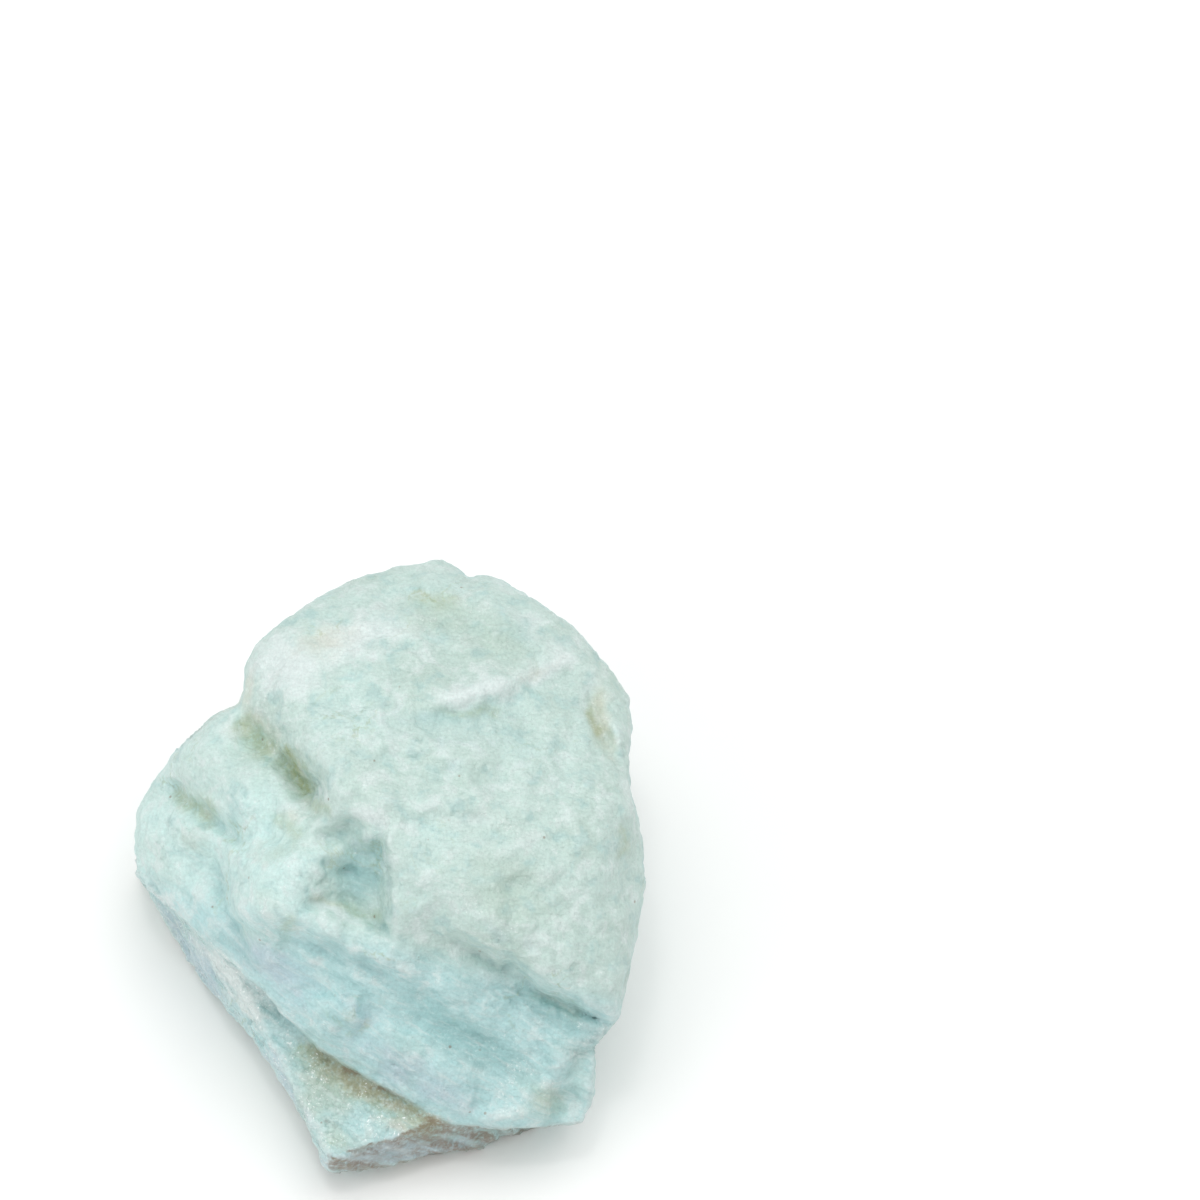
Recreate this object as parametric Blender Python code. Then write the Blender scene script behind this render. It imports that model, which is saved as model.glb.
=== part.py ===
"""A rough piece of amazonite, as broken from the vein, resting on a small flat spot.

The broken face that the stone shows is laid out in a tilted view frame, in millimetres: x to the right,
u up the face and t out of the face. The hidden sides are flat breaks, given in world millimetres.
"""

import math

import bmesh
import bpy
import numpy as np

MM = 0.001

# Driving dimensions, in millimetres
STONE_WIDTH = 44.0
FACE_TILT = math.radians(60)
GRID_STEP = 0.5
TRIANGLES = 9400
GRID_SPANS = ((-25.2, 25.0), (-34.1, 30.0), (-24.3, 36.0))

# The main block's rim in the view frame, clockwise from the top
RIM = (
    (4.2, 26.0), (5.6, 24.9), (6.4, 24.0), (8.2, 24.5), (10.0, 23.6), (12.5, 22.3), (14.8, 20.9),
    (17.0, 19.2), (18.7, 17.1), (19.9, 14.8), (20.3, 12.3), (20.0, 9.6), (20.2, 6.6), (21.0, 4.0),
    (21.7, 1.2), (21.8, -1.4), (21.4, -4.6), (20.8, -7.6), (20.2, -10.8), (19.8, -12.8), (18.2, -14.2),
    (17.3, -15.6), (17.5, -17.4), (17.2, -19.8), (16.5, -22.0), (13.5, -22.3), (9.3, -22.4), (5.6, -22.1),
    (3.4, -21.2), (1.6, -19.9), (-1.4, -18.4), (-4.0, -16.8), (-6.0, -15.6), (-7.4, -14.0), (-9.2, -12.2),
    (-10.4, -10.6), (-12.2, -9.2), (-14.2, -7.4), (-16.2, -5.8), (-18.2, -4.2), (-20.2, -2.4),
    (-21.8, -1.0), (-22.1, 0.8), (-22.0, 2.6), (-21.5, 4.8), (-20.2, 7.0), (-18.4, 9.2), (-16.6, 10.9),
    (-14.6, 12.6), (-12.6, 13.4), (-12.1, 14.8), (-12.0, 16.8), (-11.2, 18.8), (-9.2, 20.6), (-6.4, 22.4),
    (-3.2, 24.0), (0.6, 25.4),
)

# The shelf's rim in the view frame; its last points lie under the block
SHELF_RIM = (
    (-22.5, 0.2), (-21.8, -1.6), (-20.2, -4.6), (-18.2, -7.9), (-16.2, -10.8), (-14.4, -12.5),
    (-12.2, -14.9), (-10.4, -17.0), (-8.6, -20.2), (-7.0, -22.5), (-6.2, -24.4), (-5.9, -25.8),
    (-4.9, -26.6), (-2.0, -26.2), (1.0, -25.7), (4.6, -24.8), (7.6, -24.6), (9.2, -23.7), (12.5, -22.9),
    (16.0, -22.2), (17.0, -15.0), (0.0, 0.0), (-18.0, 4.0),
)

# Broken slopes of the face: height at the frame's origin, rise along x, rise along u
SLOPES = (
    (34.6, 0.10, -0.62),
    (36.5, -0.33, -0.62),
    (31.8, -0.04, 0.05),
    (33.2, -0.20, 0.08),
    (31.6, 0.0, 0.43),
    (39.5, 1.22, 0.0),
    (34.6, 0.46, 0.60),
    (36.2, 0.62, -0.5),
    (66.0, -2.0, 0.0),
    (46.0, 0.0, -1.22),
    (52.0, -0.9, -0.9),
)

# Grooves: route, depth, width
GROOVES = {
    "shoulder groove": (
        ((-13.4, 13.8), (-11.4, 11.0), (-9.4, 9.8), (-8.2, 8.6), (-7.2, 6.8), (-5.4, 5.0)), 1.5, 1.5),
    "olive pit": (((-9.0, 10.0), (-8.0, 8.4), (-7.2, 7.0), (-6.0, 5.6)), 1.7, 1.1),
    "dome trough": (((-3.4, 9.8), (1.0, 8.7), (5.0, 7.5), (9.0, 7.2), (12.0, 8.4)), 0.7, 1.3),
    "left groove": (((-19.6, 7.6), (-17.0, 5.3), (-15.0, 4.0), (-13.4, 2.6), (-12.0, 0.4)), 1.5, 0.8),
    "lump foot": (((-14.4, 1.6), (-14.2, -1.6), (-13.6, -4.0), (-12.2, -7.0)), 1.4, 0.8),
    "recess head": (((-6.2, 2.6), (-2.4, 2.0), (0.2, 1.3)), 1.1, 0.8),
    "recess foot": (((-7.5, -2.8), (-3.5, -3.3), (-1.6, -4.2), (0.4, -5.8)), 0.8, 0.7),
    "recess pit": (((-6.0, 0.4), (-4.0, -0.2), (-2.2, 0.1)), 0.9, 0.6),
    "lobe foot": (((-9.2, -5.6), (-5.0, -7.0), (-2.0, -8.2), (1.0, -9.6), (5.0, -13.0)), 0.8, 0.7),
    "diagonal break": (
        ((5.0, -5.6), (8.2, -7.2), (10.4, -8.9), (13.4, -10.7), (16.4, -12.2), (20.6, -14.4)), 1.1, 0.7),
    "valley": (((-0.6, -10.4), (4.0, -13.6), (8.0, -15.6), (13.4, -18.0)), 0.8, 1.7),
    "right nick": (((16.8, 15.6), (17.8, 12.4), (18.6, 10.4), (20.4, 7.4)), 1.0, 0.6),
    "dome dip": (((3.0, 16.0), (6.0, 18.0), (9.0, 20.0)), 0.6, 2.2),
}

# Steps: route, height of the side to its left, width of the step's face, reach of the raised ground
STEPS = {
    "dome wall": (((-4.6, 4.2), (-6.2, 6.6), (-7.6, 9.2), (-9.4, 11.0), (-12.4, 13.8)), -4.2, 1.5, 5.0),
    "recess wall": (
        ((0.3, 4.4), (-0.2, 2.4), (-0.3, 0.0), (-0.4, -2.4), (-0.1, -4.6), (1.0, -6.6)), 2.9, 0.45, 5.0),
    "dome foot": (((-7.6, 6.0), (-5.6, 4.9), (-3.6, 3.6), (-1.4, 2.9), (1.6, 3.0)), 1.7, 0.8, 4.0),
    "block foot": (
        ((4.0, -5.0), (6.2, -6.0), (8.2, -6.8), (10.4, -8.4), (13.4, -10.2), (16.4, -11.7), (20.6, -13.8)),
        2.7, 0.45, 4.5),
    "lump edge": (((-13.9, 2.2), (-13.8, 0.0), (-13.6, -2.0), (-13.0, -4.2), (-11.4, -7.2)), 2.8, 0.4, 4.0),
    "shoulder foot": (((-20.0, 8.2), (-17.0, 5.8), (-15.0, 4.5), (-12.4, 2.4)), 1.6, 0.5, 3.0),
    "pale step": (
        ((1.0, 4.0), (3.4, 4.7), (6.4, 5.0), (9.0, 4.6), (9.8, 3.2), (9.0, 2.2), (6.0, 1.4)), 0.6, 0.5, 2.2),
    "s ridge": (
        ((1.0, 14.8), (3.6, 14.0), (6.6, 13.7), (9.6, 14.2), (12.0, 16.0), (17.0, 18.4)), 1.4, 0.9, 3.2),
    "lobe edge": (((-9.6, -5.0), (-7.0, -5.9), (-5.0, -6.5), (-2.0, -7.7), (2.4, -9.8)), 1.1, 0.5, 3.0),
    "corner break": (
        ((18.4, -13.2), (16.6, -15.6), (15.2, -17.4), (14.2, -19.2), (13.0, -23.0)), -1.9, 0.6, 3.5),
    "small lump": (
        ((-7.4, -12.6), (-6.2, -10.9), (-4.6, -10.4), (-2.6, -11.0), (-2.1, -12.8), (-3.4, -15.0)),
        -1.0, 0.4, 1.8),
}

# Swells and hollows: middle, half sizes, turn, height
SWELLS = {
    "dome": ((2.0, 12.0), (10.0, 6.0), 0.0, 0.8),
    "cream cheek": ((-8.4, 17.0), (3.0, 3.2), 0.3, 0.9),
    "ridge bar": ((8.6, 15.4), (5.6, 1.2), 0.28, 0.6),
    "top knob": ((2.8, 23.6), (3.0, 1.6), -0.3, 0.6),
    "left lobe": ((-18.2, 1.8), (3.4, 3.2), 0.0, 1.6),
    "shoulder": ((-13.6, 7.0), (4.4, 2.6), -0.5, 1.2),
    "central lump": ((-10.4, -2.0), (3.4, 3.4), 0.3, 1.9),
    "recess": ((-2.4, -1.0), (2.8, 3.2), 0.2, -1.7),
    "bright lobe": ((-4.0, -5.4), (4.6, 1.6), -0.25, 1.1),
    "block": ((9.0, -2.0), (8.5, 5.0), -0.3, 1.0),
    "block bulge": ((12.5, -6.2), (5.5, 2.4), -0.45, 0.9),
    "lower belly": ((0.0, -15.5), (7.0, 2.4), -0.55, 0.7),
    "small lump": ((-4.4, -12.6), (1.9, 1.7), 0.0, 0.9),
}

# Flat breaks of the hidden sides: outward normal and distance from the world's origin
BACK_BREAKS = (
    ((-0.12, 1.0, 0.16), 19.8),
    ((0.72, 0.68, 0.10), 20.8),
    ((-0.70, 0.70, 0.14), 17.6),
    ((0.30, 0.90, -0.34), 9.6),
    ((-0.62, 0.52, -0.58), 6.3),
    ((0.78, 0.10, -0.52), 8.5),
    ((-0.74, -0.10, -0.66), 11.1),
    ((-0.10, -0.66, -0.74), 14.0),
    ((0.98, -0.2, 0.06), 25.1),
)
SHELF_BREAKS = (
    ((-0.024, -0.288, 1.0), 15.9),
    ((-0.86, -0.50, 0.08), 21.3),
    ((0.41, -0.87, 0.10), 29.2),
    ((0.30, -0.95, 0.0), 29.9),
    ((-0.13, -0.13, -0.98), 3.4),
    ((0.70, -0.50, -0.40), 26.0),
)

# Uneven ground: length and height of the waves that every route and slope follows, then the width,
# height and seed of the small breaks over the face and of the lumps on the hidden sides
WAVES = (2.3, 0.45)
CHIPS = ((4.4, 0.7, 201),)
CALM_DOME = ((2.0, 13.0), (11.0, 6.0), 0.6)
LUMPS = ((7.0, 0.55, 41), (3.1, 0.28, 43))

# Rounding of corners: between slopes, least and most along the rim, between hidden breaks, between them
# and the face, between the shelf's breaks, along its rim, and where it runs in under the block
SLOPE_ROUND = 2.4
RIM_ROUND = (0.6, 2.0)
RIM_ROUND_SPREAD = 8.0
BACK_ROUND = 1.6
BACK_EDGE_ROUND = 1.4
SHELF_ROUND = 0.8
SHELF_RIM_ROUND = 0.5
INNER_ROUND = 0.9
VIEW_X = np.array((1.0, 0.0, 0.0))
VIEW_U = np.array((0.0, math.sin(FACE_TILT), math.cos(FACE_TILT)))
VIEW_T = np.array((0.0, -math.cos(FACE_TILT), math.sin(FACE_TILT)))


def unit(vector):
    """The vector at length one."""
    v = np.array(vector, float)
    return v / np.linalg.norm(v)


def hashed(i, j, k, seed):
    """A fixed number from -1 to 1 for each corner of a lattice."""
    n = ((i * 73856093) ^ (j * 19349663) ^ (k * 83492791) ^ (seed * 26544357)).astype(np.uint32)
    n = (n ^ (n >> np.uint32(15))) * np.uint32(2246822519)
    n = (n ^ (n >> np.uint32(13))) * np.uint32(3266489917)
    n = n ^ (n >> np.uint32(16))
    return n / 2147483648.0 - 1.0


def noise(x, y, z, seed):
    """Smooth noise from -1 to 1, one lattice cell to the unit."""
    x, y, z = np.broadcast_arrays(x, y, z)
    i, j, k = (np.floor(c).astype(np.int64) for c in (x, y, z))
    fx, fy, fz = ((c - np.floor(c)) for c in (x, y, z))
    fx, fy, fz = (f * f * (3.0 - 2.0 * f) for f in (fx, fy, fz))
    total = np.zeros(x.shape)
    for corner in range(8):
        a, b, c = corner & 1, corner >> 1 & 1, corner >> 2
        weight = (fx if a else 1.0 - fx) * (fy if b else 1.0 - fy) * (fz if c else 1.0 - fz)
        total += weight * hashed(i + a, j + b, k + c, seed)
    return total


def turned(x, y, z):
    """The place turned off the lattice, so that no feature lines up with it."""
    return 0.36 * x + 0.48 * y - 0.8 * z, -0.8 * x + 0.6 * y, 0.48 * x + 0.64 * y + 0.6 * z


def fractal(x, y, z, seed, octaves=3):
    """Noise with finer and weaker octaves added, each turned from the last."""
    total = 0.0
    for octave in range(octaves):
        x, y, z = turned(x, y, z)
        size = 2.0 ** octave
        total = total + noise(x * size, y * size, z * size, seed + octave) / size
    return total


def chipped(x, y, z, seed, sharpness=9.0):
    """Height of small breaks one unit across, each tilted its own way, with soft corners between them."""
    x, y, z = turned(x, y, z)
    i, j, k = (np.floor(c).astype(np.int64) for c in (x, y, z))
    total = np.zeros(x.shape)
    weights = np.zeros(x.shape)
    for cell in range(27):
        a, b, c = i + cell % 3 - 1, j + cell // 3 % 3 - 1, k + cell // 9 - 1
        off = [place - corner - 0.5 - 0.42 * hashed(a, b, c, seed + axis)
               for axis, (place, corner) in enumerate(((x, a), (y, b), (z, c)))]
        plane = sum(o * hashed(a, b, c, seed + 3 + axis) for axis, o in enumerate(off))
        weight = np.exp(-sharpness * sum(o * o for o in off))
        total += weight * (plane + 0.35 * hashed(a, b, c, seed + 6))
        weights += weight
    return total / weights


def soft_min(a, b, radius):
    """The lower of two heights, with the corner between them rounded."""
    share = np.clip(0.5 + 0.5 * (b - a) / radius, 0.0, 1.0)
    return b + (a - b) * share - radius * share * (1.0 - share)


def soft_max(a, b, radius):
    """The higher of two heights, with the corner between them rounded."""
    return -soft_min(-a, -b, radius)


def near_route(points, x, u):
    """Distance to a route, the side of it (+1 left, -1 right) and the share of its length passed."""
    corners = np.array(points, float)
    lengths = np.linalg.norm(np.diff(corners, axis=0), axis=1)
    passed = np.concatenate(([0.0], np.cumsum(lengths)))
    distance = np.full(x.shape, np.inf)
    side = np.zeros(x.shape)
    share = np.zeros(x.shape)
    for start, end, length, before in zip(corners, corners[1:], lengths, passed):
        along_x, along_u = (end - start) / length
        run = np.clip((x - start[0]) * along_x + (u - start[1]) * along_u, 0.0, length)
        off_x = x - start[0] - run * along_x
        off_u = u - start[1] - run * along_u
        here = np.hypot(off_x, off_u)
        nearer = here < distance
        distance = np.where(nearer, here, distance)
        side = np.where(nearer, np.sign(along_x * off_u - along_u * off_x), side)
        share = np.where(nearer, (before + run) / passed[-1], share)
    return distance, side, share


def outside_rim(rim, x, u):
    """Distance outside a closed rim, negative within it."""
    distance, _, _ = near_route(rim + rim[:1], x, u)
    within = np.zeros(x.shape, bool)
    for (ax, au), (bx, bu) in zip(rim, rim[1:] + rim[:1]):
        if au != bu:
            crossing = ax + (bx - ax) * (u - au) / (bu - au)
            within ^= ((au > u) != (bu > u)) & (x < crossing)
    return np.where(within, -distance, distance)


def patch(x, u, middle, half, turn, power):
    """1 in the middle of a turned ellipse, falling to 0 outside it."""
    off_x, off_u = x - middle[0], u - middle[1]
    across = (off_x * math.cos(turn) + off_u * math.sin(turn)) / half[0]
    along = (off_u * math.cos(turn) - off_x * math.sin(turn)) / half[1]
    return np.exp(-(across ** 2 + along ** 2) ** power)


def face_height(x, u):
    """Height of the broken face over the view frame."""
    length, rise = WAVES
    wave_x = x + rise * fractal(x / length, u / length, 0.3, 11, 2)
    wave_u = u + rise * fractal(x / length, u / length, 7.7, 23, 2)
    height = None
    for start, rise_x, rise_u in SLOPES:
        slope = start + rise_x * wave_x + rise_u * wave_u
        height = slope if height is None else soft_min(height, slope, SLOPE_ROUND)
    for route, depth, width in GROOVES.values():
        distance, _, share = near_route(route, wave_x, wave_u)
        taper = np.clip(7.0 * share * (1.0 - share), 0.0, 1.0)
        height = height - depth * taper * np.exp(-(distance / width) ** 2)
    for route, rise, width, reach in STEPS.values():
        distance, side, share = near_route(route, wave_x, wave_u)
        taper = np.clip(6.0 * share * (1.0 - share), 0.0, 1.0)
        level = np.tanh(side * distance / width) * np.exp(-(distance / reach) ** 2)
        height = height + 0.5 * rise * taper * level
    for middle, half, turn, rise in SWELLS.values():
        height = height + rise * patch(wave_x, wave_u, middle, half, turn, 1.3)
    middle, half, calm = CALM_DOME
    calm = 1.0 - calm * patch(x, u, middle, half, 0.0, 1.5)
    for width, rise, seed in CHIPS:
        height = height + rise * calm * chipped(x / width, u / width, np.full(x.shape, 0.37), seed)
    return height


def breaks(planes, places, radius):
    """Distance outside a set of flat breaks with rounded corners between them."""
    outside = None
    for normal, distance in planes:
        n = unit(normal)
        here = places[0] * n[0] + places[1] * n[1] + places[2] * n[2] - distance
        outside = here if outside is None else soft_max(outside, here, radius)
    return outside


def blurred(values):
    """The field with each point averaged with its neighbours, so that no cell is crossed twice."""
    for axis in range(3):
        ahead, behind = np.roll(values, -1, axis=axis), np.roll(values, 1, axis=axis)
        values = 0.5 * values + 0.25 * (ahead + behind)
    return values


def finer(values, coarse_axes, fine_axes):
    """Values on a coarse grid read off at the points of a finer one."""
    for axis, (coarse, fine) in enumerate(zip(coarse_axes, fine_axes)):
        place = (fine - coarse[0]) / (coarse[1] - coarse[0])
        low = np.clip(np.floor(place).astype(int), 0, len(coarse) - 2)
        shape = [1, 1, 1]
        shape[axis] = len(fine)
        share = (place - low).reshape(shape)
        values = np.take(values, low, axis=axis) * (1.0 - share) + np.take(values, low + 1, axis=axis) * share
    return values


def world_parts(x, u, t):
    """World x, y and z of places in the view frame."""
    return x, u * VIEW_U[1] + t * VIEW_T[1], u * VIEW_U[2] + t * VIEW_T[2]


def stone_field(axes):
    """Distance-like field of the whole stone on a grid of the view frame, negative inside it."""
    x2, u2 = np.meshgrid(axes[0], axes[1], indexing="ij")
    t = axes[2][None, None, :]
    coarse = [np.arange(a[0] - 1.0, a[-1] + 2.0, 1.0) for a in axes]
    cx, cu, ct = np.meshgrid(*coarse, indexing="ij")
    wx, wy, wz = world_parts(cx, cu, ct)
    lumps = sum(rise * noise(wx / width, wy / width, wz / width, seed) for width, rise, seed in LUMPS)
    lumps = finer(lumps, coarse, axes)
    places = world_parts(x2[:, :, None], u2[:, :, None], t)
    face = t - face_height(x2, u2)[:, :, None]
    least, most = RIM_ROUND
    edge_round = least + (most - least) * (0.5 + 0.5 * np.tanh((u2 - 0.4 * x2) / RIM_ROUND_SPREAD))
    rim = outside_rim(RIM, x2, u2) - 0.25 * edge_round
    block = soft_max(face, rim[:, :, None], edge_round[:, :, None])
    block = soft_max(block, breaks(BACK_BREAKS, places, BACK_ROUND) + lumps, BACK_EDGE_ROUND)
    shelf_rim = outside_rim(SHELF_RIM, x2, u2)[:, :, None]
    shelf = soft_max(breaks(SHELF_BREAKS, places, SHELF_ROUND) + 0.5 * lumps, shelf_rim, SHELF_RIM_ROUND)
    return blurred(soft_min(block, shelf, INNER_ROUND))


def surface_net(values, axes):
    """Points and quads of the field's zero surface, one point to each cell that it crosses."""
    inside = values < 0.0
    shape = tuple(n - 1 for n in values.shape)
    offsets = [(a, b, c) for a in (0, 1) for b in (0, 1) for c in (0, 1)]
    count = sum(
        inside[a:a + shape[0], b:b + shape[1], c:c + shape[2]].astype(np.int8) for a, b, c in offsets
    )
    cells = np.argwhere((count > 0) & (count < 8))
    number = np.full(shape, -1, np.int64)
    number[tuple(cells.T)] = np.arange(len(cells))
    corner = {o: values[tuple((cells + o).T)] for o in offsets}
    total = np.zeros((len(cells), 3))
    hits = np.zeros(len(cells))
    for start in offsets:
        for axis in range(3):
            if start[axis]:
                continue
            end = tuple(1 if i == axis else start[i] for i in range(3))
            low, high = corner[start], corner[end]
            crossed = (low < 0.0) != (high < 0.0)
            share = np.where(crossed, low / np.where(crossed, low - high, 1.0), 0.0)
            point = np.array(start, float) + np.zeros((len(cells), 3))
            point[:, axis] += share
            total[crossed] += point[crossed]
            hits += crossed
    spacing = np.array([axis[1] - axis[0] for axis in axes])
    origin = np.array([axis[0] for axis in axes])
    points = origin + (cells + total / hits[:, None]) * spacing
    quads = []
    for axis in range(3):
        ahead = np.roll(inside, -1, axis=axis)
        edge = np.argwhere(inside != ahead)
        side_a, side_b = [i for i in range(3) if i != axis]
        edge = edge[edge[:, axis] < values.shape[axis] - 1]
        edge = edge[(edge[:, side_a] > 0) & (edge[:, side_b] > 0)]
        edge = edge[(edge[:, side_a] < shape[side_a]) & (edge[:, side_b] < shape[side_b])]
        step_a, step_b = np.eye(3, dtype=int)[side_a], np.eye(3, dtype=int)[side_b]
        ring = [number[tuple((edge - s).T)] for s in (0 * step_a, step_a, step_a + step_b, step_b)]
        ring = np.stack(ring, axis=1)
        leaving = inside[tuple(edge.T)]
        flip = ~leaving if axis != 1 else leaving
        ring[flip] = ring[flip][:, ::-1]
        quads.append(ring)
    return points, np.concatenate(quads)


def amazonite():
    """Waxy pale blue-green feldspar."""
    material = bpy.data.materials.new("amazonite")
    material.use_nodes = True
    shader = material.node_tree.nodes["Principled BSDF"]
    shader.inputs["Base Color"].default_value = (0.56, 0.73, 0.67, 1.0)
    shader.inputs["Roughness"].default_value = 0.5
    shader.inputs["Metallic"].default_value = 0.0
    shader.inputs["IOR"].default_value = 1.53
    return material


def stand_on_ground(points):
    """World points in millimetres, at the driving width, centred over the origin."""
    world = points[:, :1] * VIEW_X + points[:, 1:2] * VIEW_U + points[:, 2:3] * VIEW_T
    above = world[world[:, 2] > 0.0]
    low, high = above.min(axis=0), above.max(axis=0)
    middle = (low + high) / 2.0
    return (world - (middle[0], middle[1], 0.0)) * STONE_WIDTH / (high[0] - low[0])


def stone_object():
    """The whole stone as one closed mesh with its resting spot cut flat."""
    axes = [np.arange(low, high, GRID_STEP) for low, high in GRID_SPANS]
    points, quads = surface_net(stone_field(axes), axes)
    mesh = bpy.data.meshes.new("amazonite_stone")
    mesh.from_pydata(stand_on_ground(points) * MM, [], quads.tolist())
    solid = bmesh.new()
    solid.from_mesh(mesh)
    everything = solid.verts[:] + solid.edges[:] + solid.faces[:]
    cut = bmesh.ops.bisect_plane(
        solid, geom=everything, dist=1e-7, plane_co=(0, 0, 0), plane_no=(0, 0, 1), clear_inner=True)
    rim_edges = [e for e in cut["geom_cut"] if isinstance(e, bmesh.types.BMEdge)]
    bmesh.ops.holes_fill(solid, edges=rim_edges, sides=0)
    bmesh.ops.recalc_face_normals(solid, faces=solid.faces[:])
    solid.to_mesh(mesh)
    solid.free()
    stone = bpy.data.objects.new("amazonite_stone", mesh)
    bpy.context.scene.collection.objects.link(stone)
    mesh.materials.append(amazonite())
    triangles = sum(len(p.vertices) - 2 for p in mesh.polygons)
    thin = stone.modifiers.new("even_out", "DECIMATE")
    thin.ratio = min(1.0, TRIANGLES / triangles)
    mesh.shade_smooth()
    return stone


def main():
    for old in list(bpy.data.objects):
        bpy.data.objects.remove(old, do_unlink=True)
    stone_object()


main()
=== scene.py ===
"""Rough amazonite: the stone's fine broken surface, its waxy material, a pale floor and soft light.

The broken face is laid out in a tilted view frame, in millimetres: x to the right, u up the face and
t out of the face. Its routes and slopes are the same as the solid's, worked out here on a finer grid.
"""

import math
from functools import partial

import bmesh
import bpy
import numpy as np
from bpy.props import FloatProperty, FloatVectorProperty, PointerProperty
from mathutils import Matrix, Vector


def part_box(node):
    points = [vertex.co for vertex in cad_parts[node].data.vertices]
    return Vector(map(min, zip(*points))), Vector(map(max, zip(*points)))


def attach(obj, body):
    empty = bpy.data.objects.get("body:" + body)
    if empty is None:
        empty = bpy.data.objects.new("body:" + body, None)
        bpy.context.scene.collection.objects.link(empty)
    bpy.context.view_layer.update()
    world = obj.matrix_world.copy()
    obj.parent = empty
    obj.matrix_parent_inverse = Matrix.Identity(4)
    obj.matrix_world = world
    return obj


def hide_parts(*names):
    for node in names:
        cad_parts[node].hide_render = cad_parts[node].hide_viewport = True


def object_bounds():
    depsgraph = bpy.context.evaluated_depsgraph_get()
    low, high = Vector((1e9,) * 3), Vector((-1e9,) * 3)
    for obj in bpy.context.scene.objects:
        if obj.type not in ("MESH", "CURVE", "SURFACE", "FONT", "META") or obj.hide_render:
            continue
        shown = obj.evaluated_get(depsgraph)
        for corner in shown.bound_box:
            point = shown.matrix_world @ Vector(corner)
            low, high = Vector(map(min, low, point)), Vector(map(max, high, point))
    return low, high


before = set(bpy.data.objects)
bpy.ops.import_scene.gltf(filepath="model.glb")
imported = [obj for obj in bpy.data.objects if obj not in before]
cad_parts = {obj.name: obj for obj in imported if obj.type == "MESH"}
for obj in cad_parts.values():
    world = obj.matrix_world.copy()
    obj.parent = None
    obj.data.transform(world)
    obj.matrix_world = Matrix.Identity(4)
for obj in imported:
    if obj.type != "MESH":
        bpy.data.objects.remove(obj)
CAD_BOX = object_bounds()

bl_info = {
    "name": "Rough Amazonite",
    "version": (1, 0, 0),
    "blender": (4, 5, 0),
    "location": "3D View > Sidebar > Amazonite",
    "description": "Builds the fine surface of a rough amazonite on its solid, and a plain stage",
    "category": "Object",
}

MM = 0.001
FACE_TILT = math.radians(60)
VIEW_X = np.array((1.0, 0.0, 0.0))
VIEW_U = np.array((0.0, math.sin(FACE_TILT), math.cos(FACE_TILT)))
VIEW_T = np.array((0.0, -math.cos(FACE_TILT), math.sin(FACE_TILT)))

# The main block's rim in the view frame, clockwise from the top
RIM = (
    (4.2, 26.0), (5.6, 24.9), (6.4, 24.0), (8.2, 24.5), (10.0, 23.6), (12.5, 22.3), (14.8, 20.9),
    (17.0, 19.2), (18.7, 17.1), (19.9, 14.8), (20.3, 12.3), (20.0, 9.6), (20.2, 6.6), (21.0, 4.0),
    (21.7, 1.2), (21.8, -1.4), (21.4, -4.6), (20.8, -7.6), (20.2, -10.8), (19.8, -12.8), (18.2, -14.2),
    (17.3, -15.6), (17.5, -17.4), (17.2, -19.8), (16.5, -22.0), (13.5, -22.3), (9.3, -22.4), (5.6, -22.1),
    (3.4, -21.2), (1.6, -19.9), (-1.4, -18.4), (-4.0, -16.8), (-6.0, -15.6), (-7.4, -14.0), (-9.2, -12.2),
    (-10.4, -10.6), (-12.2, -9.2), (-14.2, -7.4), (-16.2, -5.8), (-18.2, -4.2), (-20.2, -2.4),
    (-21.8, -1.0), (-22.1, 0.8), (-22.0, 2.6), (-21.5, 4.8), (-20.2, 7.0), (-18.4, 9.2), (-16.6, 10.9),
    (-14.6, 12.6), (-12.6, 13.4), (-12.1, 14.8), (-12.0, 16.8), (-11.2, 18.8), (-9.2, 20.6), (-6.4, 22.4),
    (-3.2, 24.0), (0.6, 25.4),
)

# The shelf's rim in the view frame; its last points lie under the block
SHELF_RIM = (
    (-22.5, 0.2), (-21.8, -1.6), (-20.2, -4.6), (-18.2, -7.9), (-16.2, -10.8), (-14.4, -12.5),
    (-12.2, -14.9), (-10.4, -17.0), (-8.6, -20.2), (-7.0, -22.5), (-6.2, -24.4), (-5.9, -25.8),
    (-4.9, -26.6), (-2.0, -26.2), (1.0, -25.7), (4.6, -24.8), (7.6, -24.6), (9.2, -23.7), (12.5, -22.9),
    (16.0, -22.2), (17.0, -15.0), (0.0, 0.0), (-18.0, 4.0),
)

# Broken slopes of the face: height at the frame's origin, rise along x, rise along u
SLOPES = (
    (34.6, 0.10, -0.62),
    (36.5, -0.33, -0.62),
    (31.8, -0.04, 0.05),
    (33.2, -0.20, 0.08),
    (31.6, 0.0, 0.43),
    (39.5, 1.22, 0.0),
    (34.6, 0.46, 0.60),
    (36.2, 0.62, -0.5),
    (66.0, -2.0, 0.0),
    (46.0, 0.0, -1.22),
    (52.0, -0.9, -0.9),
)

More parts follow.
